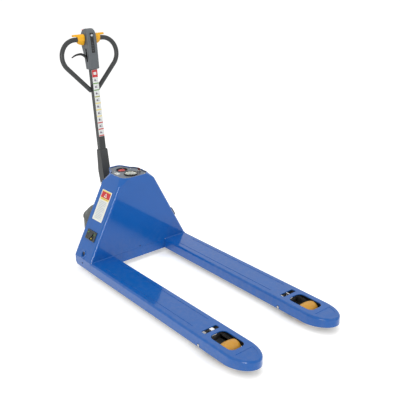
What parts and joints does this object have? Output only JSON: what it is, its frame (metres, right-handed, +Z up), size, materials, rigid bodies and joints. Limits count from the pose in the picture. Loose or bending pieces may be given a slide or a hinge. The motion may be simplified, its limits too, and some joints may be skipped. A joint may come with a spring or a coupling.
{
  "type": "electric pallet truck",
  "caption": "Walk-behind pallet truck: two long forks, tapered battery hood, round steered drive cover and an upright tiller with a loop handle and thumb throttles.",
  "frame": {"origin": "on the floor, midway along the truck from its rearmost point to the fork tips and midway between its sides", "axes": "+X from the operator towards the fork tips, +Y to the left of the truck seen from the operator, +Z up"},
  "size_m": [1.625, 0.635, 1.2277],
  "materials": {
    "blue_paint": "gloss",
    "panel_silver": "brushed",
    "black_paint": "satin",
    "steel": "machined",
    "chrome_rod": "polished",
    "charcoal_paint": "satin",
    "grey_plastic": "moulded",
    "dark_plastic": "moulded",
    "black_plastic": "gloss",
    "yellow_plastic": "gloss",
    "red_plastic": "gloss",
    "horn_grey": "gloss",
    "dial_face": "printed face behind a clear lens",
    "label_print": "printed vinyl",
    "motor_black": "painted casting",
    "drive_rubber": "moulded",
    "amber_urethane": "cast polyurethane"
  },
  "bodies": {
    "truck_frame": {"fork_right": "blue_paint", "fork_left": "blue_paint", "arm_pivot_pins": "steel", "hood": "blue_paint", "rear_cover": "blue_paint", "faceplate": "panel_silver", "base_frame": "blue_paint", "guide_channels": "black_paint", "battery_tray": "black_paint", "battery_right": "dark_plastic", "battery_left": "dark_plastic", "controller": "dark_plastic", "battery_connector": "dark_plastic", "charger_socket": "dark_plastic", "charger_cover": "dark_plastic", "e_stop_base": "black_plastic", "gauge_bezel": "black_plastic", "gauge_dial": "dial_face", "key_switch": "black_plastic", "safety_label": "label_print", "lift_ram": "chrome_rod"},
    "carriage": {"carriage": "black_paint", "slide_pads": "black_plastic", "steer_bearing": "steel", "lift_barrel": "black_paint"},
    "drive_unit": {"steer_fork": "black_paint", "drive_axle": "steel", "motor": "motor_black", "drum_cover": "dark_plastic", "drum_lid": "dark_plastic", "pump_body": "black_paint", "yoke": "black_paint"},
    "drive_wheel": {"drive_hub": "motor_black", "drive_tyre": "drive_rubber"},
    "tiller": {"tiller_bracket": "black_paint", "tiller_tube": "charcoal_paint", "pictogram_strip": "label_print", "pump_roller": "steel", "tiller_pin": "steel", "loop_handle": "charcoal_paint", "control_head": "grey_plastic", "face_strip": "black_plastic"},
    "throttle": {"throttle_right": "yellow_plastic", "throttle_left": "yellow_plastic", "throttle_sleeve": "dark_plastic"},
    "finger_lever": {"finger_lever": "black_plastic"},
    "release_rod": {"release_rod": "steel"},
    "belly_button": {"belly_button": "red_plastic"},
    "horn_button": {"horn_button": "horn_grey"},
    "pump_piston": {"pump_piston": "chrome_rod"},
    "e_stop_button": {"e_stop_button": "red_plastic"},
    "key": {"key": "red_plastic"},
    "torsion_shaft": {"torsion_shaft": "black_paint"},
    "push_rods": {"push_rods": "black_paint"},
    "load_arms": {"load_arms": "black_paint", "load_axles": "steel"},
    "load_wheel_right": {"load_hub_right": "motor_black", "load_tyre_right": "amber_urethane"},
    "load_wheel_left": {"load_hub_left": "motor_black", "load_tyre_left": "amber_urethane"}
  },
  "joints": [
    {"name": "lift", "type": "slide", "parent": "truck_frame", "child": "carriage", "axis": [0, 0, -1], "range_m": [0, 0.105]},
    {"name": "steering", "type": "hinge", "parent": "carriage", "child": "drive_unit", "pos_m": [-0.6695, 0, 0.24], "axis": [0, 0, 1], "range_deg": [-85, 85]},
    {"name": "drive_wheel_spin", "type": "hinge", "parent": "drive_unit", "child": "drive_wheel", "pos_m": [-0.6695, 0, 0.1], "axis": [0, 1, 0], "continuous": true},
    {"name": "tiller_tilt", "type": "hinge", "parent": "drive_unit", "child": "tiller", "pos_m": [-0.6535, 0, 0.356], "axis": [0, -1, 0], "range_deg": [0, 70], "stiffness_Nm_per_rad": 30, "springref_deg": -91.67},
    {"name": "throttle_twist", "type": "hinge", "parent": "tiller", "child": "throttle", "pos_m": [-0.76204, 0, 1.16756], "axis": [0, 1, 0], "range_deg": [-30, 30], "stiffness_Nm_per_rad": 0.6},
    {"name": "finger_lever_tip", "type": "hinge", "parent": "tiller", "child": "finger_lever", "pos_m": [-0.73824, -0.017, 1.06535], "axis": [0.9955, 0, 0.0948], "range_deg": [-12, 12]},
    {"name": "release_rod_slide", "type": "slide", "parent": "tiller", "child": "release_rod", "axis": [-0.0948, 0, 0.9955], "range_m": [-0.0043, 0.0043]},
    {"name": "belly_button_press", "type": "slide", "parent": "tiller", "child": "belly_button", "axis": [0.0948, 0, -0.9955], "range_m": [0, 0.004], "stiffness_N_per_m": 800, "springref_m": -0.001},
    {"name": "horn_button_press", "type": "slide", "parent": "tiller", "child": "horn_button", "axis": [-0.9955, 0, -0.0948], "range_m": [0, 0.003], "stiffness_N_per_m": 500, "springref_m": -0.001},
    {"name": "pump_piston_stroke", "type": "slide", "parent": "drive_unit", "child": "pump_piston", "axis": [0, 0, -1], "range_m": [0, 0.0345]},
    {"name": "e_stop_press", "type": "slide", "parent": "truck_frame", "child": "e_stop_button", "axis": [0, 0, -1], "range_m": [0, 0.005]},
    {"name": "key_turn", "type": "hinge", "parent": "truck_frame", "child": "key", "pos_m": [-0.4215, 0.062, 0.492], "axis": [0, 0, 1], "range_deg": [0, 90]},
    {"name": "torsion_shaft_turn", "type": "hinge", "parent": "truck_frame", "child": "torsion_shaft", "pos_m": [-0.4385, 0, 0.1], "axis": [0, -1, 0], "range_deg": [0, 45.61]},
    {"name": "push_rods_level", "type": "hinge", "parent": "torsion_shaft", "child": "push_rods", "pos_m": [-0.45245, 0, 0.06681], "axis": [0, 1, 0], "range_deg": [0, 45.61]},
    {"name": "load_arms_swing", "type": "hinge", "parent": "truck_frame", "child": "load_arms", "pos_m": [0.5258, 0, 0.035], "axis": [0, 1, 0], "range_deg": [0, 63.31]},
    {"name": "load_wheel_right_spin", "type": "hinge", "parent": "load_arms", "child": "load_wheel_right", "pos_m": [0.6405, -0.2425, 0.0396], "axis": [0, 1, 0], "continuous": true},
    {"name": "load_wheel_left_spin", "type": "hinge", "parent": "load_arms", "child": "load_wheel_left", "pos_m": [0.6405, 0.2425, 0.0396], "axis": [0, 1, 0], "continuous": true}
  ],
  "couplings": [
    {"joint": "torsion_shaft_turn", "follows": "lift", "rad_per_m": 7.5797},
    {"joint": "push_rods_level", "follows": "lift", "rad_per_m": 7.5797},
    {"joint": "load_arms_swing", "follows": "lift", "rad_per_m": 10.521},
    {"joint": "pump_piston_stroke", "follows": "tiller_tilt", "m_per_rad": 0.028157},
    {"joint": "release_rod_slide", "follows": "finger_lever_tip", "m_per_rad": 0.02}
  ]
}
